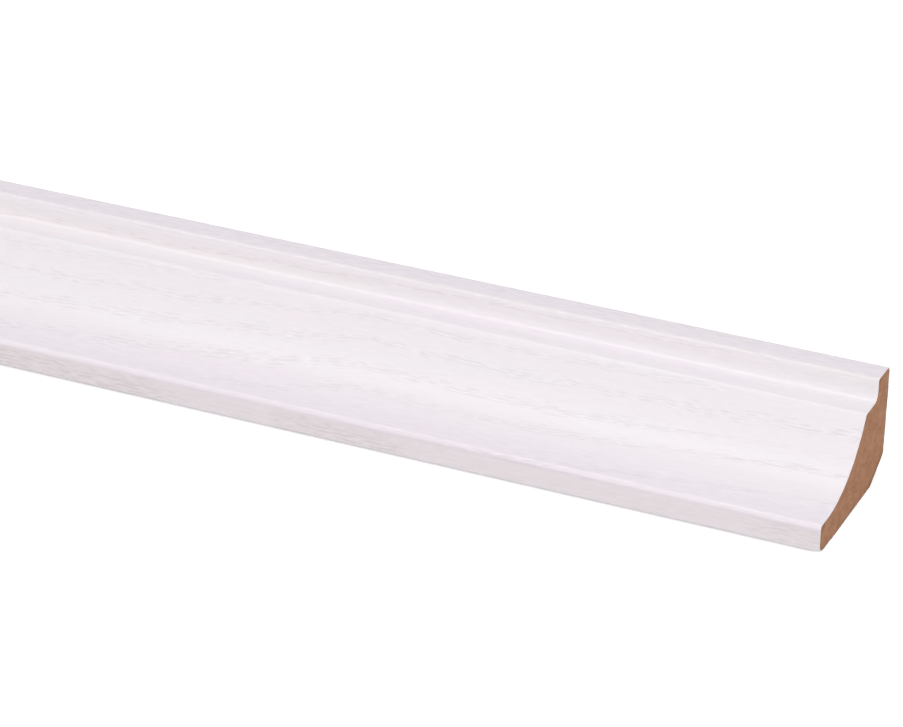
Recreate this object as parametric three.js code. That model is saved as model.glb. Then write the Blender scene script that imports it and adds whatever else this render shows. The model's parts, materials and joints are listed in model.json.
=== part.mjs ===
// Crown moulding length: a cove cornice profile moulded in wood-fibre board, wrapped in a thin wood-grain foil.
// Millimetres, +Z up. The length lies on its ceiling face, as it would on a bench.
// +X runs along the length, +Y points to the wall that it is fixed to, and Z = 0 is the ceiling face.
// The section is drawn from the corner where wall and ceiling would meet, and then centred over the origin.

import * as THREE from 'three';

// Length, cut square at both ends
const pieceLength = 225;

// Main sizes of the section, to the outside of the foil
const depth = 42;
const height = 26;
const filletDepth = 7.7;
const stepHeight = 21;
const noseHeight = 7.1;
const lipDepth = 4.2;
const coveRadius = 25.6;

// Relief bevel between the two contact faces, which keeps them tight where a room's corner is filled
const reliefDepth = 8.1;
const reliefHeight = 4.4;

// Radii of the edges, to the outside of the foil
const backEdgeRadius = 1.7;
const ridgeRadius = 0.7;
const innerCornerRadius = 1.7;
const stepEdgeRadius = 0.9;
const noseEdgeRadius = 1.1;
const footRadius = 2;
const reliefEdgeRadius = 1.4;

// Foil: its thickness, and how far its two edges are turned onto the contact faces.
// The board is cut back by the foil's thickness under it, so the contact faces stay flat.
const foilThickness = 0.25;
const wallTurnIn = 5;
const ceilingTurnIn = 8;

// Chords on each quarter or part turn
const arcSteps = 12;

// Cove: it runs level into the lip, and rolls over a small round onto the step.
// The round's centre lies one step-edge radius below the step and that much outside the cove's circle.
const coveCentre = new THREE.Vector2(lipDepth - depth, noseHeight + coveRadius);
const stepEdgeDrop = coveCentre.y - (stepHeight - stepEdgeRadius);
const stepEdgeReach = coveRadius + stepEdgeRadius;
const stepEdgeCentre = new THREE.Vector2(
  coveCentre.x + Math.sqrt(stepEdgeReach ** 2 - stepEdgeDrop ** 2),
  stepHeight - stepEdgeRadius,
);
const coveStart = stepEdgeCentre.clone().sub(coveCentre).angle();
const coveEnd = 1.5 * Math.PI;

// The moulded face from the wall, over the top, down the cove and round the nose onto the ceiling face.
// Inset moves it into the material: outside corners tighten and hollow ones open, on the same centres.
function mouldedFace(inset) {
  const outside = (radius) => Math.max(radius - inset, 0);
  const hollow = (radius) => radius + inset;
  const line = new THREE.Path();
  line.moveTo(-inset, height - wallTurnIn);
  line.absarc(-backEdgeRadius, height - backEdgeRadius, outside(backEdgeRadius), 0, Math.PI / 2, false);
  line.absarc(
    ridgeRadius - filletDepth, height - ridgeRadius, outside(ridgeRadius), Math.PI / 2, Math.PI, false,
  );
  line.absarc(
    -filletDepth - innerCornerRadius, stepHeight + innerCornerRadius,
    hollow(innerCornerRadius), 0, -Math.PI / 2, true,
  );
  line.absarc(
    stepEdgeCentre.x, stepEdgeCentre.y, outside(stepEdgeRadius), Math.PI / 2, coveStart - Math.PI, false,
  );
  line.absarc(coveCentre.x, coveCentre.y, hollow(coveRadius), coveStart, coveEnd, true);
  line.absarc(
    noseEdgeRadius - depth, noseHeight - noseEdgeRadius, outside(noseEdgeRadius), Math.PI / 2, Math.PI, false,
  );
  line.absarc(footRadius - depth, footRadius, outside(footRadius), Math.PI, 1.5 * Math.PI, false);
  line.lineTo(ceilingTurnIn - depth, inset);
  return line.getPoints(arcSteps);
}

// A soft edge between two straight stretches: the line stops short of the corner and curves past it
function softEdge(line, before, corner, after) {
  const toBefore = before.clone().sub(corner).normalize();
  const toAfter = after.clone().sub(corner).normalize();
  const halfOpening = Math.acos(toBefore.dot(toAfter)) / 2;
  const setback = reliefEdgeRadius / Math.tan(halfOpening);
  const start = corner.clone().addScaledVector(toBefore, setback);
  const end = corner.clone().addScaledVector(toAfter, setback);
  line.lineTo(start.x, start.y);
  line.quadraticCurveTo(corner.x, corner.y, end.x, end.y);
}

// The contact faces of the board, from the foil's edge on the ceiling face to its edge on the wall face
function contactFaces() {
  const ceilingFoilEdge = new THREE.Vector2(ceilingTurnIn - depth, 0);
  const reliefFoot = new THREE.Vector2(-reliefDepth, 0);
  const reliefHead = new THREE.Vector2(0, reliefHeight);
  const wallFoilEdge = new THREE.Vector2(0, height - wallTurnIn);
  const line = new THREE.Path();
  line.moveTo(ceilingFoilEdge.x, ceilingFoilEdge.y);
  softEdge(line, ceilingFoilEdge, reliefFoot, reliefHead);
  softEdge(line, reliefFoot, reliefHead, wallFoilEdge);
  line.lineTo(wallFoilEdge.x, wallFoilEdge.y);
  return line.getPoints(arcSteps);
}

// A section run out along X. Its own x and y become the part's Y and Z.
function mouldedLength(name, outline, material) {
  const shape = new THREE.Shape(outline);
  const geometry = new THREE.ExtrudeGeometry(shape, { depth: pieceLength, bevelEnabled: false });
  const alongY = new THREE.Vector3(0, 1, 0);
  const alongZ = new THREE.Vector3(0, 0, 1);
  const alongX = new THREE.Vector3(1, 0, 0);
  geometry.applyMatrix4(new THREE.Matrix4().makeBasis(alongY, alongZ, alongX));
  const mesh = new THREE.Mesh(geometry, material);
  mesh.name = name;
  return mesh;
}

const foilFace = mouldedFace(0);
const gluedFace = mouldedFace(foilThickness);

// Board core: the moulded face under the foil, closed by the bare contact faces
const boardMaterial = new THREE.MeshStandardMaterial({ color: 0xa0785d, roughness: 0.95, metalness: 0 });
const core = mouldedLength('mdf_core', [...gluedFace, ...contactFaces()], boardMaterial);

// Foil: a skin of one thickness, glued to the board all over
const foilMaterial = new THREE.MeshStandardMaterial({ color: 0xf0eaee, roughness: 0.5, metalness: 0 });
const foil = mouldedLength('foil_wrap', [...foilFace, ...gluedFace.slice().reverse()], foilMaterial);

const group = new THREE.Group();
group.add(core, foil);
group.position.set(-pieceLength / 2, depth / 2, 0);

export default group;
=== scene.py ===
# %% [markdown]
# A length of crown moulding, built as the real one is made: a fibreboard core that was moulded to a
# cove profile, and a thin white wood-grain foil that was glued round its face. This script dresses
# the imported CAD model. It models the two pieces again with fine, soft edges, gives them
# procedural finishes, and sets up a plain studio with the camera where the photographer stood.

# %% Load the frame
import json
import math

import bmesh
import bpy
from mathutils import Matrix, Vector, noise

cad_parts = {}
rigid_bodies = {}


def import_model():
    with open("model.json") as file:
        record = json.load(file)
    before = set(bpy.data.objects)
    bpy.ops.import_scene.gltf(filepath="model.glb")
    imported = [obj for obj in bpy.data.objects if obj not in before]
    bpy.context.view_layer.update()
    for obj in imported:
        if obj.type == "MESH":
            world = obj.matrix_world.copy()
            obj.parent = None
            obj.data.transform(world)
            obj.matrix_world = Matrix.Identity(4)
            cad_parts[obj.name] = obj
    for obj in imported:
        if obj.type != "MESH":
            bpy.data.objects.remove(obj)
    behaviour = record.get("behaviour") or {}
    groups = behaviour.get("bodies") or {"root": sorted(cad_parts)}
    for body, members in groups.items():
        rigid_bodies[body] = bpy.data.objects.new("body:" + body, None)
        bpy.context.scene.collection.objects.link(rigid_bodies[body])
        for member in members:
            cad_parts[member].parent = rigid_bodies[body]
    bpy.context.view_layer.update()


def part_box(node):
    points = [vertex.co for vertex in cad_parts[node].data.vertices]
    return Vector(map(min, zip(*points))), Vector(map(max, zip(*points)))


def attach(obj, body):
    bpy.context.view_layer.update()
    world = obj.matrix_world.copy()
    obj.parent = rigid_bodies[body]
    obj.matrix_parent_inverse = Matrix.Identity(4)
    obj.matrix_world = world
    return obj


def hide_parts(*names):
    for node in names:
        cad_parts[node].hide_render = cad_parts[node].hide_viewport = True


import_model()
foil_low, foil_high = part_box("foil_wrap")

# %% [markdown]
# The sizes of the section. The outer box comes from the frame, so the dressed pieces can't drift
# away from the CAD. The rest repeats the section's own sizes. All values are in metres.

# %% Sizes of the section
MM = 0.001
left_end, right_end = foil_low[0], foil_high[0]
nose_y, wall_y = foil_low[1], foil_high[1]
ceiling_z, top_z = foil_low[2], foil_high[2]
piece_length = right_end - left_end
fillet_depth = 7.7 * MM
step_height = 21.0 * MM
nose_height = 7.1 * MM
lip_depth = 4.2 * MM
cove_radius = 25.6 * MM
relief_depth = 8.1 * MM
relief_height = 4.4 * MM
back_edge_radius = 1.7 * MM
ridge_radius = 0.7 * MM
inner_corner_radius = 1.7 * MM
step_edge_radius = 0.9 * MM
nose_edge_radius = 1.1 * MM
foot_radius = 2.0 * MM
relief_edge_radius = 1.4 * MM
foil_thickness = 0.25 * MM
wall_turn_in = 5.0 * MM
ceiling_turn_in = 8.0 * MM
section_size = f"{(wall_y - nose_y) / MM:.1f} by {(top_z - ceiling_z) / MM:.1f} mm"
print("section", section_size, "and", round(piece_length / MM), "mm long")

# %% [markdown]
# The camera comes before the pieces, because it is the easiest thing to check against the
# photograph. The picture was taken from the front right and above, through a long lens.
# A camera turned by azimuth, elevation and a small roll needs only three angles and a place.

# %% Camera
camera_azimuth = math.radians(23.223)
camera_elevation = math.radians(26.803)
camera_roll = math.radians(1.425)
camera_place = Vector((0.3238, -0.7116, 0.4059))
lens_mm = 156.46

camera_data = bpy.data.cameras.new("studio_camera")
camera_data.sensor_fit = "HORIZONTAL"
camera_data.sensor_width = 36.0
camera_data.lens = lens_mm
camera_data.clip_start = 0.01
camera_data.clip_end = 20.0
camera = bpy.data.objects.new("studio_camera", camera_data)
camera.matrix_world = (
    Matrix.Translation(camera_place)
    @ Matrix.Rotation(camera_azimuth, 4, "Z")
    @ Matrix.Rotation(math.pi / 2 - camera_elevation, 4, "X")
    @ Matrix.Rotation(camera_roll, 4, "Z")
)
bpy.context.scene.collection.objects.link(camera)
bpy.context.scene.camera = camera
print("camera at", [round(v, 3) for v in camera_place], "lens", lens_mm, "mm")

# %% [markdown]
# Mesh helpers. A moulder draws the section as one line of straight stretches and round ones. Here a
# pencil does the same: it is the last vertex of a wire. Extruding it draws a straight stretch,
# and the spin operator draws an arc about a centre. Each straight stretch starts and ends with a
# short step, which keeps the shading of a flat face flat right up to its rounded edge.

# %% Pencil helpers
short_step = 0.15 * MM
straight_step = 1.3 * MM


def start_line(y, z):
    line_mesh = bmesh.new()
    pencil = line_mesh.verts.new((left_end, y, z))
    return line_mesh, pencil


def draw_point(line_mesh, pencil, y, z):
    grown = bmesh.ops.extrude_vert_indiv(line_mesh, verts=[pencil])["verts"][0]
    grown.co = (left_end, y, z)
    return grown


def draw_straight(line_mesh, pencil, y, z):
    start = Vector((left_end, pencil.co.y, pencil.co.z))
    end = Vector((left_end, y, z))
    length = (end - start).length
    if length < 3 * short_step:
        return draw_point(line_mesh, pencil, y, z)
    inner = max(1, round((length - 2 * short_step) / straight_step))
    marks = [short_step + (length - 2 * short_step) * i / inner for i in range(inner + 1)] + [length]
    for mark in marks:
        place = start.lerp(end, mark / length)
        pencil = draw_point(line_mesh, pencil, place.y, place.z)
    return pencil


def draw_arc(line_mesh, pencil, centre_y, centre_z, turn, steps):
    spun = bmesh.ops.spin(
        line_mesh, geom=[pencil], cent=(left_end, centre_y, centre_z), axis=(1, 0, 0),
        angle=turn, steps=steps, use_merge=False, use_normal_flip=False,
    )
    return [part for part in spun["geom_last"] if isinstance(part, bmesh.types.BMVert)][0]


# %% [markdown]
# The moulded face runs from the foil's edge on the wall face, over the top, down the fillet, over
# the step, down the cove and round the nose onto the ceiling face. Foil and board share it:
# the board's face is the same line, moved in by the foil's thickness on the same centres.

# %% Moulded face
quarter = math.pi / 2
edge_steps = 10
cove_steps = 40


def arc_centres():
    cove = Vector((nose_y + lip_depth, nose_height + cove_radius))
    edge_z = step_height - step_edge_radius
    reach = cove_radius + step_edge_radius
    edge = Vector((cove.x + math.sqrt(reach ** 2 - (cove.y - edge_z) ** 2), edge_z))
    return cove, edge


cove_centre, step_edge_centre = arc_centres()
cove_start = math.atan2(step_edge_centre.y - cove_centre.y, step_edge_centre.x - cove_centre.x)
cove_turn = -quarter - cove_start


def draw_moulded_face(line_mesh, pencil, inset):
    """Draws the whole face from the wall to the ceiling face, inset into the material."""
    fillet_y = wall_y - fillet_depth + inset
    pencil = draw_straight(line_mesh, pencil, wall_y - inset, top_z - back_edge_radius)
    pencil = draw_arc(
        line_mesh, pencil, wall_y - back_edge_radius, top_z - back_edge_radius, quarter, edge_steps,
    )
    pencil = draw_straight(line_mesh, pencil, fillet_y - inset + ridge_radius, top_z - inset)
    pencil = draw_arc(line_mesh, pencil, pencil.co.y, top_z - ridge_radius, quarter, edge_steps)
    pencil = draw_straight(line_mesh, pencil, fillet_y, step_height + inner_corner_radius)
    pencil = draw_arc(
        line_mesh, pencil, wall_y - fillet_depth - inner_corner_radius, pencil.co.z, -quarter, edge_steps,
    )
    pencil = draw_straight(line_mesh, pencil, step_edge_centre.x, step_height - inset)
    pencil = draw_arc(
        line_mesh, pencil, step_edge_centre.x, step_edge_centre.y, quarter + cove_start, edge_steps,
    )
    pencil = draw_arc(line_mesh, pencil, cove_centre.x, cove_centre.y, cove_turn, cove_steps)
    pencil = draw_straight(line_mesh, pencil, nose_y + nose_edge_radius, nose_height - inset)
    pencil = draw_arc(line_mesh, pencil, pencil.co.y, nose_height - nose_edge_radius, quarter, edge_steps)
    pencil = draw_straight(line_mesh, pencil, nose_y + inset, ceiling_z + foot_radius)
    pencil = draw_arc(line_mesh, pencil, nose_y + foot_radius, pencil.co.z, quarter, edge_steps)
    return draw_straight(line_mesh, pencil, nose_y + ceiling_turn_in, ceiling_z + inset)


foil_mesh, foil_pencil = start_line(wall_y, top_z - wall_turn_in)
foil_pencil = draw_moulded_face(foil_mesh, foil_pencil, 0.0)
foil_mesh.verts.ensure_lookup_table()
print("foil section drawn with", len(foil_mesh.verts), "points")

# %% [markdown]
# The print on the foil is made flat and then glued round the section, so it has to be mapped by
# the girth: the distance walked along the section from the foil's edge on the wall face. Each
# point of the wire stores its girth now, while the order is known. The operators that follow
# carry the stored number to every new point.

# %% Girth of every point
girth_layer = foil_mesh.verts.layers.float.new("girth")
walked = 0.0
last_place = foil_mesh.verts[0].co.copy()
for point in foil_mesh.verts:
    walked += (point.co - last_place).length
    point[girth_layer] = walked
    last_place = point.co.copy()
foil_girth = walked
print(f"girth of the foil: {foil_girth / MM:.2f} mm")

# %% [markdown]
# The wire is run out along X in one extrusion. Its long edges are then cut into short ones, so that
# the maps of the print can follow the growth lines. Near both ends a few more loops are bisected in,
# close together, because that is where the saw left its marks.

# %% Run the face out and cut it along its length
along_step = 1.5 * MM
along_cuts = round(piece_length / along_step) - 1


def run_out(line_mesh, geometry):
    grown = bmesh.ops.extrude_edge_only(line_mesh, edges=geometry)["geom"]
    far_points = [part for part in grown if isinstance(part, bmesh.types.BMVert)]
    bmesh.ops.translate(line_mesh, verts=far_points, vec=(piece_length, 0, 0))


def long_edges(mesh):
    half = piece_length / 2
    return [edge for edge in mesh.edges if abs(edge.verts[0].co.x - edge.verts[1].co.x) > half]


end_loop_depths = (0.15 * MM, 0.4 * MM, 0.75 * MM, 1.15 * MM, 1.9 * MM, 2.4 * MM)
end_loop_search = 3.2 * MM
plane_tolerance = 0.01 * MM


def cut_end_loops(mesh):
    for depth in end_loop_depths:
        for end, inward in ((left_end, 1), (right_end, -1)):
            near = []
            for edge in mesh.edges:
                if min(abs(point.co.x - end) for point in edge.verts) < end_loop_search:
                    near.append(edge)
            faces = dict.fromkeys(face for edge in near for face in edge.link_faces)
            points = dict.fromkeys(point for edge in near for point in edge.verts)
            bmesh.ops.bisect_plane(
                mesh, geom=[*points, *near, *faces], dist=plane_tolerance,
                plane_co=(end + inward * depth, 0, 0), plane_no=(1, 0, 0),
            )


run_out(foil_mesh, foil_mesh.edges[:])
bmesh.ops.subdivide_edges(foil_mesh, edges=long_edges(foil_mesh), cuts=along_cuts, use_grid_fill=True)
cut_end_loops(foil_mesh)
bmesh.ops.recalc_face_normals(foil_mesh, faces=foil_mesh.faces[:])
highest_face = max(foil_mesh.faces, key=lambda face: face.calc_center_median().z)
if highest_face.normal.z < 0:
    bmesh.ops.reverse_faces(foil_mesh, faces=foil_mesh.faces[:])
print("foil face:", len(foil_mesh.faces), "faces")

# %% [markdown]
# Growth lines. On the foil's print the dark pore rows follow the tree's growth rings. They rise
# from left to right, steeply at first, level in the middle, and they fan out to the left. One curve
# says how far they have closed up along the length, and a second one gives the lower rings their
# extra slope. Undoing both gives each point its own distance across straight rings, and the rings'
# places turn that into a ring number. It goes into a UV map, so a material can lay pores along
# the rings as if they were straight. Each mark below pairs a place along the length, in
# millimetres from the middle, with the value there. The ring marks are places across.

# %% Growth line UV map
closing_marks = ((-115, -0.15), (-85, 0.0), (-55, 0.20), (-25, 0.49), (-3, 0.79), (12, 0.77),
                 (25, 0.74), (60, 0.80), (85, 0.91), (115, 1.02))
closing_share = 0.27
closing_shift = 0.62
lower_turns = ((-85, -0.15), (-50, -0.18), (-21, -0.33), (-8, -0.28), (3, 0.0), (40, 0.0), (112, 0.36))
lower_starts = ((-10, 40.0), (40, 32.0))
ring_marks = (1.0, 9.0, 16.0, 25.5, 31.2, 37.8, 46.3, 54.0, 61.5, 69.0, 76.5, 84.0, 91.5, 99.0)


def blend_between(marks, place):
    """Reads a value at a place between a few marks, blending with level starts and ends."""
    for (start, low), (end, high) in zip(marks, marks[1:]):
        if place <= end:
            share = min(max((place - start) / (end - start), 0.0), 1.0)
            return low + (high - low) * share * share * (3 - 2 * share)
    return marks[-1][1]


def straightened(x, girth):
    """Distance across the rings, in millimetres, once their closing up is undone."""
    place, across = x / MM, girth / MM
    across += blend_between(lower_turns, place) * max(0.0, across - blend_between(lower_starts, place))
    closed = blend_between(closing_marks, place)
    return (across - closing_shift * closed) / (1 - closing_share * closed)


def ring_number(across):
    for index, (start, end) in enumerate(zip(ring_marks, ring_marks[1:])):
        if across <= end:
            return index + (across - start) / (end - start)
    return len(ring_marks) - 1.0


def map_face(mesh):
    """UV maps in metres: print runs round the foil and grain across the rings. Map rings counts rings."""
    print_map = mesh.loops.layers.uv.new("print")
    grain_map = mesh.loops.layers.uv.new("grain")
    ring_map = mesh.loops.layers.uv.new("rings")
    stored = mesh.verts.layers.float["girth"]
    across = {point: straightened(point.co.x, point[stored]) for point in mesh.verts}
    for face in mesh.faces:
        for loop in face.loops:
            place = across[loop.vert]
            loop[print_map].uv = (loop.vert.co.x, loop.vert[stored])
            loop[grain_map].uv = (loop.vert.co.x, place * MM)
            loop[ring_map].uv = (loop.vert.co.x, ring_number(place))


map_face(foil_mesh)
print("growth rings across the foil's left end:", round(ring_number(straightened(left_end, foil_girth)), 1))

# %% [markdown]
# The foil gets its real thickness with the solidify operator, which grows it into the material.

# %% Foil thickness
bmesh.ops.solidify(foil_mesh, geom=foil_mesh.faces[:], thickness=foil_thickness)
bmesh.ops.recalc_face_normals(foil_mesh, faces=foil_mesh.faces[:])
print("foil with its thickness:", len(foil_mesh.faces), "faces")

# %% [markdown]
# No saw cut is quite flat. Each point near an end is pushed in by a noise that foil and board
# share, and each adds a finer unevenness of its own, in all by 0.15 mm at most. The lower front
# corner of the right-hand end was knocked, so it's pressed up and in a little. A push that fades
# with the distance keeps both pieces nested, where a sculpted dent could open a gap.

# %% Saw cut and knocked corner
end_reach = 2.4 * MM
saw_wave = 0.05 * MM
saw_wave_size = 5 * MM
shared_shift, own_shift = 40, 90
foil_wave, foil_wave_size = 0.05 * MM, 1.3 * MM
knock_reach = 2.3 * MM
knock_spread = 3.6 * MM
knock_lift = 0.42 * MM
knock_inward_share = 0.3


def fade(distance, reach):
    share = max(0.0, 1.0 - distance / reach)
    return share * share * (3 - 2 * share)


def saw_ends(mesh, own_wave, own_wave_size):
    for point in mesh.verts:
        x, y, z = point.co
        for end, inward in ((left_end, 1), (right_end, -1)):
            share = fade(abs(x - end), end_reach)
            if share > 0:
                wide = 0.5 + 0.5 * noise.noise(Vector((end * shared_shift, y, z)) / saw_wave_size)
                own = 0.5 + 0.5 * noise.noise(Vector((end * own_shift, y, z)) / own_wave_size)
                point.co.x += inward * share * (saw_wave * wide + own_wave * own)


def knock_corner(mesh):
    for point in mesh.verts:
        along = fade(right_end - point.co.x, knock_reach)
        near = fade(math.hypot(point.co.y - nose_y, point.co.z - ceiling_z), knock_spread)
        point.co.z += knock_lift * along * near
        point.co.y += knock_inward_share * knock_lift * along * near


saw_ends(foil_mesh, foil_wave, foil_wave_size)
knock_corner(foil_mesh)
print("deepest saw mark on the foil:", round((saw_wave + foil_wave) / MM, 2), "mm")

# %% [markdown]
# From here on a piece is a mesh object. Its faces are shaded smooth, and edges that turn sharply stay
# crisp. Both pieces are made by one function, which also prints how large each came out.

# %% Piece maker
foil_crisp_angle = 40
board_crisp_angle = 30


def make_piece(name, mesh, crisp_angle):
    data = bpy.data.meshes.new(name)
    for face in mesh.faces:
        face.smooth = True
    mesh.to_mesh(data)
    mesh.free()
    data.set_sharp_from_angle(angle=math.radians(crisp_angle))
    piece = bpy.data.objects.new(name, data)
    bpy.context.scene.collection.objects.link(piece)
    corners = []
    for pick in (min, max):
        corners.append([round(pick(v.co[axis] for v in data.vertices) / MM, 2) for axis in range(3)])
    print(name, "box, mm:", corners, "triangles:", sum(len(f.vertices) - 2 for f in data.polygons))
    return piece


foil = make_piece("foil", foil_mesh, foil_crisp_angle)

# %% [markdown]
# The board core. Its outline is the same moulded face, inset by the foil's thickness, closed by the
# bare contact faces and the relief bevel between them. The bevel's two edges are softly rounded: the
# pencil stops short of the corner and is spun about a centre until it points the new way.

# %% Board outline
def soft_corner(line_mesh, pencil, corner, after, radius, steps):
    """Draws to a corner and rounds it towards the next point by spinning the pencil about a centre."""
    here = Vector((pencil.co.y, pencil.co.z))
    inward, outward = (corner - here).normalized(), (after - corner).normalized()
    turn = math.atan2(inward.cross(outward), inward.dot(outward))
    setback = radius * math.tan(abs(turn) / 2)
    start = corner - inward * setback
    centre = start + Vector((-inward.y, inward.x)) * math.copysign(radius, turn)
    pencil = draw_straight(line_mesh, pencil, start.x, start.y)
    return draw_arc(line_mesh, pencil, centre.x, centre.y, turn, steps)


board_mesh, board_pencil = start_line(wall_y - foil_thickness, top_z - wall_turn_in)
board_pencil = draw_moulded_face(board_mesh, board_pencil, foil_thickness)
relief_foot = Vector((wall_y - relief_depth, ceiling_z))
relief_head = Vector((wall_y, ceiling_z + relief_height))
wall_foil_edge = Vector((wall_y, top_z - wall_turn_in))
relief_steps = 5
board_pencil = draw_point(board_mesh, board_pencil, nose_y + ceiling_turn_in, ceiling_z)
for corner, after in ((relief_foot, relief_head), (relief_head, wall_foil_edge)):
    board_pencil = soft_corner(board_mesh, board_pencil, corner, after, relief_edge_radius, relief_steps)
board_pencil = draw_straight(board_mesh, board_pencil, wall_foil_edge.x, wall_foil_edge.y)
board_mesh.verts.ensure_lookup_table()
bmesh.ops.contextual_create(board_mesh, geom=[board_pencil, board_mesh.verts[0]])
print("board outline drawn with", len(board_mesh.verts), "points")

# %% [markdown]
# The cut end is a fine grid, so that it can be a little uneven, as sawn fibreboard is. Filling the
# outline gives one face. Inset gives it a narrow rim, which a number on its outer points marks, and
# bisecting along parallel planes scores the grid.

# %% Cut end
grid_step = 0.9 * MM
rim_width = 0.32 * MM
bmesh.ops.contextual_create(board_mesh, geom=board_mesh.edges[:])
rim_layer = board_mesh.verts.layers.float.new("rim")
bmesh.ops.inset_region(
    board_mesh, faces=board_mesh.faces[:], thickness=rim_width, depth=0.0,
    use_boundary=True, use_even_offset=True,
)
for point in board_mesh.verts:
    point[rim_layer] = 1.0 if any(edge.is_boundary for edge in point.link_edges) else 0.0
for axis, low, high in ((1, nose_y, wall_y), (2, ceiling_z, top_z)):
    cuts = round((high - low) / grid_step)
    normal = Vector((0, 0, 0))
    normal[axis] = 1
    for index in range(1, cuts):
        place = Vector((left_end, 0, 0))
        place[axis] = low + (high - low) * index / cuts
        everything = board_mesh.verts[:] + board_mesh.edges[:] + board_mesh.faces[:]
        bmesh.ops.bisect_plane(
            board_mesh, geom=everything, dist=plane_tolerance, plane_co=place, plane_no=normal,
        )
print("cut end scored into", len(board_mesh.faces), "faces")

# %% [markdown]
# Extruding the scored section gives the whole length of board at once. The board runs straight, so half
# as many cuts along it as on the foil are enough. The same loops as on the foil follow near its ends.

# %% Run the board out
extruded = bmesh.ops.extrude_face_region(board_mesh, geom=board_mesh.faces[:])["geom"]
far_points = [part for part in extruded if isinstance(part, bmesh.types.BMVert)]
bmesh.ops.translate(board_mesh, verts=far_points, vec=(piece_length, 0, 0))
bmesh.ops.subdivide_edges(
    board_mesh, edges=long_edges(board_mesh), cuts=along_cuts // 2, use_grid_fill=True,
)
cut_end_loops(board_mesh)
bmesh.ops.recalc_face_normals(board_mesh, faces=board_mesh.faces[:])
print("board body:", len(board_mesh.faces), "faces")

# %% [markdown]
# The finish has to tell the sawn ends from the planed sides, and the rim from the rest of an end.
# A UV map can hold any two numbers for each face corner, so this one holds those: how near the
# outline the corner is, and whether its face is an end.

# %% Map of the cut ends
end_facing = 0.9
board_wave, board_wave_size = 0.10 * MM, 0.9 * MM
ends_map = board_mesh.loops.layers.uv.new("ends")
rim_layer = board_mesh.verts.layers.float["rim"]
for face in board_mesh.faces:
    is_end = abs(face.normal.x) > end_facing
    for loop in face.loops:
        loop[ends_map].uv = (loop.vert[rim_layer], 1.0) if is_end else (0.0, 0.0)
saw_ends(board_mesh, board_wave, board_wave_size)
knock_corner(board_mesh)
board = make_piece("board_core", board_mesh, board_crisp_angle)

# %% [markdown]
# Each new piece rides on the one body, and the node of the CAD model that it stands for is hidden.
# The name of the slot for its finish is only printed.

# %% Riding and replacing
for piece, node, slot in ((foil, "foil_wrap", "decor_foil"), (board, "mdf_core", "fibreboard")):
    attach(piece, "root")
    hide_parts(node)
    print(piece.name, "stands for", node, "with the finish", slot)

# %% [markdown]
# Materials are node trees. A few short helpers keep them readable: each adds one node, feeds its
# sockets with numbers or with other nodes' outputs, and hands back the output.

# %% Node helpers
def add_node(tree, kind, feeds=None, **settings):
    node = tree.nodes.new(kind)
    for name, value in settings.items():
        setattr(node, name, value)
    for socket, value in (feeds or {}).items():
        if isinstance(value, bpy.types.NodeSocket):
            tree.links.new(value, node.inputs[socket])
        else:
            node.inputs[socket].default_value = value
    return node


def calculate(tree, operation, first, second=0.0, third=0.0):
    return add_node(tree, "ShaderNodeMath", {0: first, 1: second, 2: third}, operation=operation).outputs[0]


def soft_step(tree, value, low, high, start=0.0, end=1.0):
    feeds = {"Value": value, "From Min": low, "From Max": high, "To Min": start, "To Max": end}
    return add_node(tree, "ShaderNodeMapRange", feeds, interpolation_type="SMOOTHSTEP").outputs["Result"]


def place_vector(tree, x, y, z=0.0):
    return add_node(tree, "ShaderNodeCombineXYZ", {"X": x, "Y": y, "Z": z}).outputs["Vector"]


def cloud(tree, vector, detail=2.0, roughness=0.5):
    feeds = {"Vector": vector, "Scale": 1.0, "Detail": detail, "Roughness": roughness}
    return add_node(tree, "ShaderNodeTexNoise", feeds).outputs["Fac"]


def blend_colours(tree, share, first, second):
    mix = add_node(tree, "ShaderNodeMix", data_type="RGBA")
    for socket, value in (("Factor", share), ("A", first), ("B", second)):
        target = [s for s in mix.inputs if s.name == socket and s.enabled][0]
        if isinstance(value, bpy.types.NodeSocket):
            tree.links.new(value, target)
        else:
            target.default_value = value
    return [s for s in mix.outputs if s.enabled][0]


def paint(red, green, blue):
    """Turns a colour in screen values of 0 to 255 into the linear colour that a shader needs."""
    channels = [value / 255 for value in (red, green, blue)]
    return (*[c / 12.92 if c <= 0.04045 else ((c + 0.055) / 1.055) ** 2.4 for c in channels], 1.0)


def new_material(name):
    material = bpy.data.materials.new(name)
    material.use_nodes = True
    return material, material.node_tree, material.node_tree.nodes["Principled BSDF"]


# %% [markdown]
# Pore rows are the foil's drawing. In ash wood the large pores of each spring's growth lie in a
# narrow row, and a length of wood shows them as short dark dashes, two or three lines deep. The
# group below draws them on straightened rings, with all sizes in metres. Two clouds let the grain
# waver. A stretched cloud makes the dashes. How far a point lies from its row decides how high the
# cloud has to rise before it counts as a pore, so dashes get rare and short away from the row.
# The sizes are those of the clouds along and across the grain, and the slices only keep one
# cloud from repeating another.

# %% Sizes of the pores
slow_size, quick_size = (14 * MM, 6 * MM), (3.5 * MM, 1.8 * MM)
gap_size, dash_size = (16 * MM, 5 * MM), (3.3 * MM, 0.50 * MM)
slow_slice, quick_slice, gap_slice, dash_slice = 3.0, 7.0, 5.0, 1.0
slow_waver, quick_waver = 1.3 * MM, 0.8 * MM
ring_waver = 0.22
pore_line_gap = 1.0 * MM
row_lift, line_lift = 0.12, 0.09
farthest_from_row = -1.5
gap_range, gap_lift = (0.30, 0.62), (-0.06, 0.01)
pore_range, fleck_range, row_range = (0.57, 0.70), (0.47, 0.36), (-0.2, 0.6)
print("a pore is about", round(dash_size[0] / MM, 1), "by", round(dash_size[1] / MM, 1), "mm in the print")

# %% [markdown]
# The group takes where a point lies along and across the grain, its ring number, and how wide the
# row is there, in rings. It gives three masks: the pores, the pale flecks between them, and the row.

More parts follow.
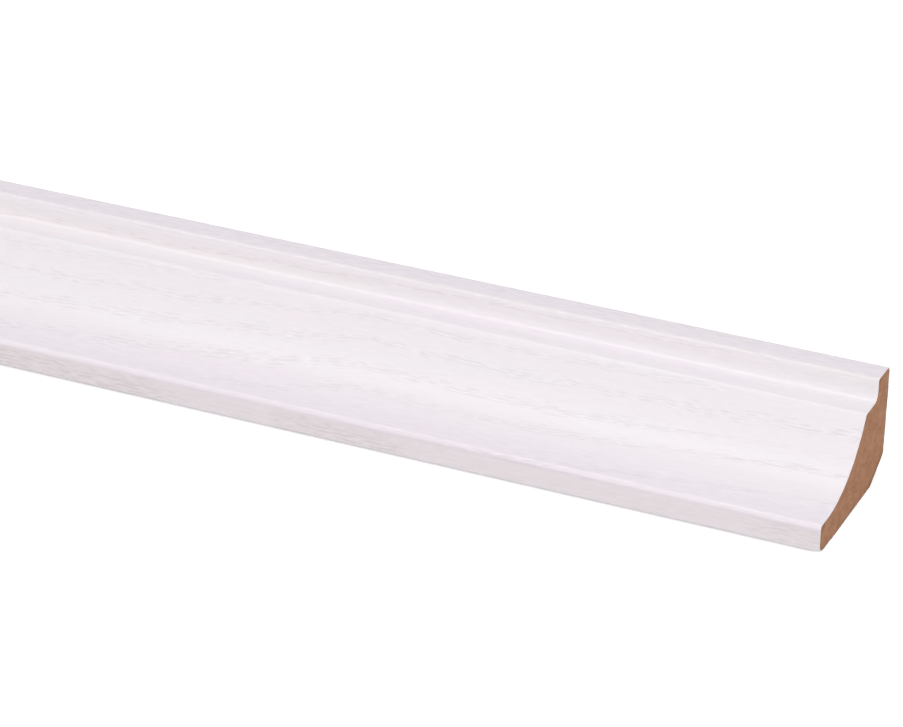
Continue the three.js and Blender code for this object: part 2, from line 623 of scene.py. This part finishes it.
# %% Pore row group
def make_pore_group():
    group = bpy.data.node_groups.new("pore_rows", "ShaderNodeTree")
    for name in ("Along", "Across", "Ring", "Row Width"):
        group.interface.new_socket(name, in_out="INPUT", socket_type="NodeSocketFloat")
    for name in ("Pores", "Flecks", "Row"):
        group.interface.new_socket(name, in_out="OUTPUT", socket_type="NodeSocketFloat")
    given = group.nodes.new("NodeGroupInput")
    along, across, ring, row_width = (given.outputs[i] for i in range(4))

    def at(along_size, across_size, shift, across_value=across):
        along_part = calculate(group, "MULTIPLY", along, 1 / along_size)
        across_part = calculate(group, "MULTIPLY", across_value, 1 / across_size)
        return place_vector(group, along_part, across_part, shift)

    slow = calculate(group, "SUBTRACT", cloud(group, at(*slow_size, slow_slice), detail=1.0), 0.5)
    quick = calculate(group, "SUBTRACT", cloud(group, at(*quick_size, quick_slice), detail=1.0), 0.5)
    wavered = calculate(group, "MULTIPLY_ADD", slow, slow_waver, across)
    wavered = calculate(group, "MULTIPLY_ADD", quick, quick_waver, wavered)
    wavered_ring = calculate(group, "MULTIPLY_ADD", slow, ring_waver, ring)
    off_row = calculate(group, "PINGPONG", wavered_ring, 0.5)
    nearness = calculate(group, "SUBTRACT", 1.0, calculate(group, "DIVIDE", off_row, row_width))
    nearness = calculate(group, "MAXIMUM", nearness, farthest_from_row)
    gaps = soft_step(group, cloud(group, at(*gap_size, gap_slice)), *gap_range, *gap_lift)

    dash_cloud = cloud(group, at(*dash_size, dash_slice, wavered))
    line_turns = calculate(group, "MULTIPLY", wavered, 2 * math.pi / pore_line_gap)
    lines = calculate(group, "SINE", line_turns)
    raised = calculate(group, "MULTIPLY_ADD", nearness, row_lift, dash_cloud)
    raised = calculate(group, "MULTIPLY_ADD", lines, line_lift, raised)
    raised = calculate(group, "ADD", raised, gaps)
    pores = soft_step(group, raised, *pore_range)
    row = soft_step(group, nearness, *row_range)
    flecks = calculate(group, "MULTIPLY", soft_step(group, dash_cloud, *fleck_range), row)

    given_out = group.nodes.new("NodeGroupOutput")
    for name, value in (("Pores", pores), ("Flecks", flecks), ("Row", row)):
        group.links.new(value, given_out.inputs[name])
    return group


pore_group = make_pore_group()
print("pore group nodes:", len(pore_group.nodes))

# %% [markdown]
# The white ash foil. Its ground is mauve-white at the edges of the print and nearly white in the
# cove. The rows add grey-mauve dashes over most of the face. The fillet carries one thin brown line,
# and the nose has brown clusters of pores that run level along it. The same dashes are pressed
# into the foil, so they feed the bump and roughen the satin lacquer.

# %% Colours of the print
foil_white = paint(239, 235, 238)
foil_mauve = paint(241, 232, 240)
foil_cream = paint(241, 234, 235)
# White of the printed flecks, and also the white of the painted highlights.
fleck_and_highlight_white = paint(250, 246, 249)
# The warm colour of the painted shade on the ground.
foil_shade = paint(226, 215, 219)
pore_mauve = paint(201, 194, 198)
pore_brown = paint(190, 176, 169)
print("ground of the print, linear:", [round(channel, 3) for channel in foil_white[:3]])

# %% [markdown]
# The print's ground changes tone round the section. Each mark pairs a girth in millimetres with a
# value there. The tones are mostly painted light and shade, partly the print's own tone: a number
# above zero takes the ground towards white as painted light, one below zero towards a warm painted
# shade. A pale painted highlight lies under the ridge, painted shade darkens the cove and the nose a
# little, and the foot, shaded by the floor, is painted palest. Small mottles show most on the top
# face, and mauve at the edges.

# %% Tones round the section, mostly painted light and shade
# Painted highlight above zero and painted shade below zero, by girth, partly the print's own tone.
girth_tones_and_painted_light = (
    (11.1, 0.10), (11.6, -0.18), (12.0, -0.10), (12.6, 0.34), (13.4, 0.05), (15.6, 0.02),
    (16.6, -0.14), (18.0, 0.0), (23.0, -0.05), (25.0, -0.22), (30.0, -0.18), (42.0, -0.22),
    (49.0, 0.05), (54.5, 0.0), (55.2, -0.27), (56.8, -0.32), (60.2, -0.32), (61.4, 1.0),
)
mottle_places = ((11.0, 0.16), (13.0, 0.07), (24.0, 0.05), (44.0, 0.05), (49.0, 0.10))
mauve_places = (
    (10.0, 1.0), (13.0, 0.25), (17.0, 0.2), (20.0, 0.45), (25.0, 0.25), (38.0, 0.1), (50.0, 0.9),
)
mottle_size, mottle_slice, mottle_range = (4.0 * MM, 0.8 * MM), 6.0, (0.62, 0.38)
streak_size, streak_slice = (45 * MM, 4 * MM), 2.0
streak_range, streak_push = (0.3, 0.7), (-0.3, 0.3)
print("tones round the section:", len(girth_tones_and_painted_light), "marks over", round(foil_girth / MM, 1), "mm")

# %% [markdown]
# No two rows are alike. These marks pair a ring number with how strongly its row is printed, how
# wide it is and how brown. Towards the right-hand end some rows fade, where the fade is above
# zero, and others get stronger, where it is below. The lower and the lowest rows start within the
# two ranges of rings. They are faint or missing at the left, and come up along the length.

# %% Strength of the rows
row_strengths = (
    (0.0, 0.5), (1.3, 0.5), (2.0, 0.62), (2.6, 0.45), (3.2, 0.5), (4.0, 0.75), (5.0, 0.85), (7.3, 0.85),
    (7.7, 0.15), (8.3, 0.15), (8.7, 1.0), (9.3, 1.0), (9.7, 0.4),
)
right_fades = (
    (1.5, 0.0), (1.7, 0.7), (2.3, 0.7), (2.7, 0.0), (3.5, 0.0), (3.8, 0.7), (4.2, 0.7), (4.6, -0.3),
    (5.4, -0.3), (5.8, 0.5), (6.2, 0.5), (6.6, -0.5), (7.4, -0.5), (7.8, 0.0),
)
row_widths = ((1.3, 0.20), (2.0, 0.08), (2.7, 0.20))
brown_rings = ((1.3, 0.0), (2.0, 0.9), (2.7, 0.0))
lower_rings, lower_left_rise = (6.3, 6.9), ((-52, 0.15), (-20, 0.85))
lowest_rings, lowest_rise = (8.1, 8.5), ((-5, 0.0), (40, 1.0))
right_part = (70 * MM, 90 * MM)
print("strongest row:", max(strength for ring, strength in row_strengths))

# %% [markdown]
# On the nose the foil turns under, and its pores gather in clusters with plain stretches between
# them. The cluster marks pair a place along the length, in millimetres, with how full it is.

# %% Clusters on the nose
nose_girth = 56.3 * MM
nose_blend = 0.4 * MM
nose_middle = 58.8 * MM
nose_ring = 6.0 * MM
nose_clusters = (
    (-100, 0.5), (-84, 1.0), (-48, 1.0), (-34, 0.1), (-18, 0.1), (-12, 0.9), (12, 0.9), (20, 0.05),
    (94, 0.05), (102, 0.6),
)
cluster_widening = 0.32
cluster_strength, plain_strength = 0.85, 0.12
print("nose from girth", round(nose_girth / MM, 1), "mm, with", len(nose_clusters), "cluster marks")

# %% [markdown]
# Two more node helpers read such marks, and blend plain values.

# %% Reading marks in nodes


def blend_marks(tree, value, marks, scale=1.0):
    """The node version of a value read between marks: a chain of blends, one for each stretch."""
    total = marks[0][1]
    for (start, low), (end, high) in zip(marks, marks[1:]):
        part = soft_step(tree, value, start * scale, end * scale, 0.0, high - low)
        total = calculate(tree, "ADD", part, total)
    return total


def blend_values(tree, share, first, second):
    """A plain blend of two values by a share of 0 to 1."""
    return calculate(tree, "MULTIPLY_ADD", share, calculate(tree, "SUBTRACT", second, first), first)


# %% [markdown]
# The foil's finish puts this together. It finds where a point lies, lays the rows there, works out
# their strength, mixes the ground from its tones, which are mostly painted light and shade, and
# prints flecks and pores over it. The lacquer is satin, a little rougher in the pores, and the
# pores are pressed in by 0.025 mm.

# %% White ash foil
cream_share = 0.6
fleck_ink, pore_ink = 0.30, 0.24
row_ink, nose_row_ink = 0.04, 0.05
texture_size, texture_slice = (1.4 * MM, 0.2 * MM), 4.0
satin, satin_spread, pore_spread = 0.33, 0.10, 0.15
texture_height, press_depth = 0.12, 0.025 * MM


def make_foil_material():
    material, tree, shader = new_material("white_ash_foil")

    def uv_parts(name):
        place = add_node(tree, "ShaderNodeUVMap", uv_map=name).outputs["UV"]
        split = add_node(tree, "ShaderNodeSeparateXYZ", {"Vector": place})
        return split.outputs["X"], split.outputs["Y"]

    along, girth = uv_parts("print")
    across, ring = uv_parts("grain")[1], uv_parts("rings")[1]
    on_nose = soft_step(tree, girth, nose_girth - nose_blend, nose_girth + nose_blend)
    cluster = calculate(tree, "MULTIPLY", on_nose, blend_marks(tree, along, nose_clusters, MM))
    off_nose_middle = calculate(tree, "SUBTRACT", girth, nose_middle)
    on_nose_ring = calculate(tree, "MULTIPLY", off_nose_middle, 1 / nose_ring)

    rows = tree.nodes.new("ShaderNodeGroup")
    rows.node_tree = pore_group
    tree.links.new(along, rows.inputs["Along"])
    tree.links.new(blend_values(tree, on_nose, across, girth), rows.inputs["Across"])
    tree.links.new(blend_values(tree, on_nose, ring, on_nose_ring), rows.inputs["Ring"])
    ring_width = blend_marks(tree, ring, row_widths)
    row_width = calculate(tree, "MULTIPLY_ADD", cluster, cluster_widening, ring_width)
    tree.links.new(row_width, rows.inputs["Row Width"])

    lower = soft_step(tree, ring, *lower_rings)
    quiet = calculate(tree, "SUBTRACT", 1.0, blend_marks(tree, along, lower_left_rise, MM))
    strength = calculate(tree, "SUBTRACT", 1.0, calculate(tree, "MULTIPLY", lower, quiet))
    strength = calculate(tree, "MULTIPLY", strength, blend_marks(tree, ring, row_strengths))
    lowest = soft_step(tree, ring, *lowest_rings)
    hidden = calculate(tree, "SUBTRACT", 1.0, blend_marks(tree, along, lowest_rise, MM))
    at_right = soft_step(tree, along, *right_part)
    faded = calculate(tree, "MULTIPLY", at_right, blend_marks(tree, ring, right_fades))
    gone = calculate(tree, "MULTIPLY_ADD", lowest, hidden, faded)
    strength = calculate(tree, "MULTIPLY", strength, calculate(tree, "SUBTRACT", 1.0, gone))
    nose_strength = calculate(tree, "MULTIPLY_ADD", cluster, cluster_strength, plain_strength)
    strength = blend_values(tree, on_nose, strength, nose_strength)
    pores = calculate(tree, "MULTIPLY", rows.outputs["Pores"], strength)

    def stretched(along_size, girth_size, shift, detail=2.0):
        along_part = calculate(tree, "MULTIPLY", along, 1 / along_size)
        girth_part = calculate(tree, "MULTIPLY", girth, 1 / girth_size)
        return cloud(tree, place_vector(tree, along_part, girth_part, shift), detail=detail)

    brown = calculate(tree, "MAXIMUM", blend_marks(tree, ring, brown_rings), on_nose)
    streak_cloud = stretched(*streak_size, streak_slice, detail=3.0)
    streaks = soft_step(tree, streak_cloud, *streak_range, *streak_push)
    mauve = calculate(tree, "ADD", blend_marks(tree, girth, mauve_places, MM), streaks)
    mauve = calculate(tree, "MINIMUM", calculate(tree, "MAXIMUM", mauve, 0.0), 1.0)
    ground = blend_colours(tree, mauve, foil_white, foil_mauve)
    ground = blend_colours(tree, calculate(tree, "MULTIPLY", brown, cream_share), ground, foil_cream)
    # Tone round the girth, mostly painted light and shade, partly the print's own tone.
    tone = blend_marks(tree, girth, girth_tones_and_painted_light, MM)
    # Painted highlight: where the tone is above zero, the ground is blended towards the fleck white.
    ground = blend_colours(tree, calculate(tree, "MAXIMUM", tone, 0.0), ground, fleck_and_highlight_white)
    # Painted shade: where the tone is below zero, the ground is blended towards the warm shade colour.
    shaded = calculate(tree, "MAXIMUM", calculate(tree, "MULTIPLY", tone, -1.0), 0.0)
    ground = blend_colours(tree, shaded, ground, foil_shade)
    mottle = soft_step(tree, stretched(*mottle_size, mottle_slice), *mottle_range)
    mottle = calculate(tree, "MULTIPLY", mottle, blend_marks(tree, girth, mottle_places, MM))
    ground = blend_colours(tree, mottle, ground, pore_mauve)
    pore_colour = blend_colours(tree, brown, pore_mauve, pore_brown)
    flecks = calculate(tree, "MULTIPLY", rows.outputs["Flecks"], strength)
    flecked = blend_colours(tree, calculate(tree, "MULTIPLY", flecks, fleck_ink), ground, fleck_and_highlight_white)
    row_share = calculate(tree, "MULTIPLY", rows.outputs["Row"], strength)
    row_tint = calculate(tree, "MULTIPLY_ADD", on_nose, nose_row_ink, row_ink)
    tinted = blend_colours(tree, calculate(tree, "MULTIPLY", row_share, row_tint), flecked, pore_colour)
    drawn = blend_colours(tree, calculate(tree, "MULTIPLY", pores, pore_ink), tinted, pore_colour)
    tree.links.new(drawn, shader.inputs["Base Color"])

    texture = stretched(*texture_size, texture_slice)
    roughness = calculate(tree, "MULTIPLY_ADD", texture, satin_spread, satin)
    roughness = calculate(tree, "MULTIPLY_ADD", pores, pore_spread, roughness)
    tree.links.new(roughness, shader.inputs["Roughness"])
    height = calculate(tree, "MULTIPLY", texture, texture_height)
    height = calculate(tree, "MULTIPLY_ADD", pores, -1.0, height)
    pressed = add_node(tree, "ShaderNodeBump", {"Height": height, "Strength": 1.0, "Distance": press_depth})
    tree.links.new(pressed.outputs["Normal"], shader.inputs["Normal"])
    return material


foil_finish = make_foil_material()
foil.data.materials.append(foil_finish)
print("foil finish nodes:", len(foil_finish.node_tree.nodes))

# %% [markdown]
# Fibreboard. It is pressed from wood fibres, so its fibres lie flat in the board, and its two faces
# are denser and darker than its middle. The board was set aslant when the moulding was cut from
# it, so the layers run parallel to the relief bevel. Turning Object coordinates by the bevel's
# slope gives one axis along the layers and one through the board's thickness. The sawn ends show
# specks of cut fibre and a scorched rim. The planed sides are smoother, with faint, short scuffs
# along the feed and the fine ripple that turning knives leave across it.

# %% Colours and sizes of the fibreboard
board_tan = paint(175, 130, 100)
board_dark = paint(158, 113, 84)
board_light = paint(205, 163, 127)
board_shade = paint(134, 93, 65)
rim_shade = paint(104, 78, 62)
planed_tan = paint(190, 154, 124)
board_thickness = 22.0 * MM
dense_reach = 2.5 * MM
coarse_size, coarse_shift = (4.0 * MM, 3.2 * MM, 2.4 * MM), 0.0
fine_size, fine_shift = (0.5 * MM, 1.1 * MM, 0.36 * MM), 5.0
scuff_size, scuff_shift = (7.0 * MM, 0.6 * MM, 0.6 * MM), 9.0
knife_mark = 1.6 * MM
print("board", board_thickness / MM, "mm thick, knife marks", knife_mark / MM, "mm apart")

# %% [markdown]
# The sawn end and the planed side are mixed by the map of the cut ends. The strengths say how far
# each effect takes the colour: the denser skin, the specks, the scorch and the scuffs.

# %% Bare fibreboard
dense_strength, planed_dense_share = 0.70, 0.4
speck_strength, planed_speck_strength = 0.7, 0.35
scorch_strength, scorch_patchiness = 0.85, 0.9
scuff_strength, scuff_height, ripple_height = 0.25, 0.12, 0.05
planed_roughness, scuff_roughness, sawn_roughness = 0.62, 0.08, 0.92
coarse_height, bump_depth = 0.5, 0.10 * MM


def make_board_material():
    material, tree, shader = new_material("bare_fibreboard")
    place = add_node(tree, "ShaderNodeTexCoord").outputs["Object"]
    slope = math.atan2(relief_height, relief_depth)
    bevel_point = (0.0, wall_y - relief_depth, ceiling_z)
    moved = add_node(
        tree, "ShaderNodeVectorMath", {0: place, 1: bevel_point}, operation="SUBTRACT",
    ).outputs[0]
    turned = add_node(
        tree, "ShaderNodeVectorRotate", {"Vector": moved, "Angle": -slope}, rotation_type="X_AXIS",
    ).outputs[0]
    split = add_node(tree, "ShaderNodeSeparateXYZ", {"Vector": turned})
    length_way, layer_way, depth_way = (split.outputs[axis] for axis in "XYZ")
    ends = add_node(tree, "ShaderNodeUVMap", uv_map="ends").outputs["UV"]
    ends_split = add_node(tree, "ShaderNodeSeparateXYZ", {"Vector": ends})
    rim, on_end = ends_split.outputs["X"], ends_split.outputs["Y"]

    def fibres(length_size, layer_size, depth_size, shift):
        along = calculate(tree, "MULTIPLY_ADD", length_way, 1 / length_size, shift)
        across = calculate(tree, "MULTIPLY", layer_way, 1 / layer_size)
        through = calculate(tree, "MULTIPLY", depth_way, 1 / depth_size)
        return cloud(tree, place_vector(tree, along, across, through), detail=3.0, roughness=0.6)

    coarse = fibres(*coarse_size, coarse_shift)
    fine = fibres(*fine_size, fine_shift)
    scuffs = fibres(*scuff_size, scuff_shift)
    half = board_thickness / 2
    from_middle = calculate(tree, "ABSOLUTE", calculate(tree, "SUBTRACT", depth_way, half))
    dense = soft_step(tree, from_middle, half - dense_reach, half, 0.0, dense_strength)
    pale_specks = soft_step(tree, fine, 0.52, 0.80, 0.0, speck_strength)
    dark_specks = soft_step(tree, fine, 0.46, 0.22, 0.0, speck_strength)
    patches = calculate(tree, "SUBTRACT", coarse, 0.5)
    scorch = calculate(tree, "MULTIPLY_ADD", patches, scorch_patchiness, rim)
    scorched = soft_step(tree, scorch, 0.05, 0.95, 0.0, scorch_strength)
    sawn = blend_colours(tree, soft_step(tree, coarse, 0.3, 0.7), board_dark, board_tan)
    sawn = blend_colours(tree, pale_specks, sawn, board_light)
    sawn = blend_colours(tree, dark_specks, sawn, board_shade)
    sawn = blend_colours(tree, dense, sawn, board_shade)
    sawn = blend_colours(tree, scorched, sawn, rim_shade)
    scuffed = soft_step(tree, scuffs, 0.35, 0.70, 0.0, scuff_strength)
    planed_specks = soft_step(tree, fine, 0.50, 0.25, 0.0, planed_speck_strength)
    planed_dense = calculate(tree, "MULTIPLY", dense, planed_dense_share)
    planed = blend_colours(tree, scuffed, planed_tan, board_tan)
    planed = blend_colours(tree, planed_specks, planed, board_shade)
    planed = blend_colours(tree, planed_dense, planed, board_shade)
    tree.links.new(blend_colours(tree, on_end, planed, sawn), shader.inputs["Base Color"])

    smooth = calculate(tree, "MULTIPLY_ADD", scuffs, scuff_roughness, planed_roughness)
    tree.links.new(blend_values(tree, on_end, smooth, sawn_roughness), shader.inputs["Roughness"])
    shader.inputs["Specular IOR Level"].default_value = 0.25
    ripple = calculate(tree, "SINE", calculate(tree, "MULTIPLY", length_way, 2 * math.pi / knife_mark))
    planed_height = calculate(tree, "MULTIPLY", scuffs, scuff_height)
    planed_height = calculate(tree, "MULTIPLY_ADD", ripple, ripple_height, planed_height)
    sawn_height = calculate(tree, "MULTIPLY_ADD", coarse, coarse_height, fine)
    height = blend_values(tree, on_end, planed_height, sawn_height)
    rough = add_node(tree, "ShaderNodeBump", {"Height": height, "Strength": 0.6, "Distance": bump_depth})
    tree.links.new(rough.outputs["Normal"], shader.inputs["Normal"])
    return material


board_finish = make_board_material()
board.data.materials.append(board_finish)
print("board finish nodes:", len(board_finish.node_tree.nodes))

# %% [markdown]
# The studio floor is pale paper. To the camera it also glows a little by itself, so that it comes
# out evenly white apart from the contact shadow. To every other ray it is a plain diffuse sheet
# that throws soft light back up at the moulding.

# %% Floor
floor_reach = 6.0
floor_grey, floor_glow = (0.62, 0.62, 0.62, 1), 0.62
bounce_grey = (0.72, 0.71, 0.72, 1)


def make_floor():
    mesh = bmesh.new()
    bmesh.ops.create_grid(mesh, x_segments=1, y_segments=1, size=floor_reach)
    data = bpy.data.meshes.new("studio_floor")
    mesh.to_mesh(data)
    mesh.free()
    floor = bpy.data.objects.new("studio_floor", data)
    bpy.context.scene.collection.objects.link(floor)
    material = bpy.data.materials.new("pale_floor")
    material.use_nodes = True
    nodes, links = material.node_tree.nodes, material.node_tree.links
    seen = nodes["Principled BSDF"]
    seen.inputs["Base Color"].default_value = floor_grey
    seen.inputs["Roughness"].default_value = 1.0
    seen.inputs["Specular IOR Level"].default_value = 0.0
    seen.inputs["Emission Color"].default_value = (1, 1, 1, 1)
    seen.inputs["Emission Strength"].default_value = floor_glow
    bounce = nodes.new("ShaderNodeBsdfDiffuse")
    bounce.inputs["Color"].default_value = bounce_grey
    path = nodes.new("ShaderNodeLightPath")
    mix = nodes.new("ShaderNodeMixShader")
    links.new(path.outputs["Is Camera Ray"], mix.inputs["Fac"])
    links.new(bounce.outputs["BSDF"], mix.inputs[1])
    links.new(seen.outputs["BSDF"], mix.inputs[2])
    links.new(mix.outputs["Shader"], nodes["Material Output"].inputs["Surface"])
    data.materials.append(material)
    return floor


floor = make_floor()
print(floor.name, 2 * floor_reach, "m wide")

# %% [markdown]
# Three softboxes and a white room light the moulding. The long one low in front fills the cove,
# the long one overhead draws the pale lines on the edges, and the square one beyond the right-hand
# end lights the sawn section. Sizes are in metres and powers in watts.

# %% Light
strip_width, strip_height = 1.8, 0.35
light_distance = 1.5
front_elevation, front_power = 20, 6.3
overhead_elevation, overhead_power = 95, 7.8
end_place, end_size, end_power = Vector((2.6, -1.0, 1.0)), 1.2, 27.0
room_strength = 0.50


def make_softbox(name, place, target, width, height, power):
    light = bpy.data.lights.new(name, "AREA")
    light.shape = "RECTANGLE"
    light.size = width
    light.size_y = height
    light.energy = power
    lamp = bpy.data.objects.new(name, light)
    lamp.location = place
    lamp.rotation_euler = (target - place).to_track_quat("-Z", "Y").to_euler()
    bpy.context.scene.collection.objects.link(lamp)


subject = Vector((0, 0, top_z / 2))


def around(elevation, distance):
    """A point in front of the moulding, at an elevation seen from it: 90 degrees is overhead."""
    angle = math.radians(elevation)
    return subject + Vector((0, -math.cos(angle), math.sin(angle))) * distance


front_place = around(front_elevation, light_distance)
overhead_place = around(overhead_elevation, light_distance)
make_softbox("front_softbox", front_place, subject, strip_width, strip_height, front_power)
make_softbox("overhead_softbox", overhead_place, subject, strip_width, strip_height, overhead_power)
make_softbox("end_softbox", end_place, subject, end_size, end_size, end_power)

world = bpy.data.worlds.new("studio_room")
world.use_nodes = True
world.node_tree.nodes["Background"].inputs["Color"].default_value = (1, 1, 1, 1)
world.node_tree.nodes["Background"].inputs["Strength"].default_value = room_strength
bpy.context.scene.world = world
bpy.context.scene.view_settings.view_transform = "Standard"
print("softboxes:", len(bpy.data.lights))
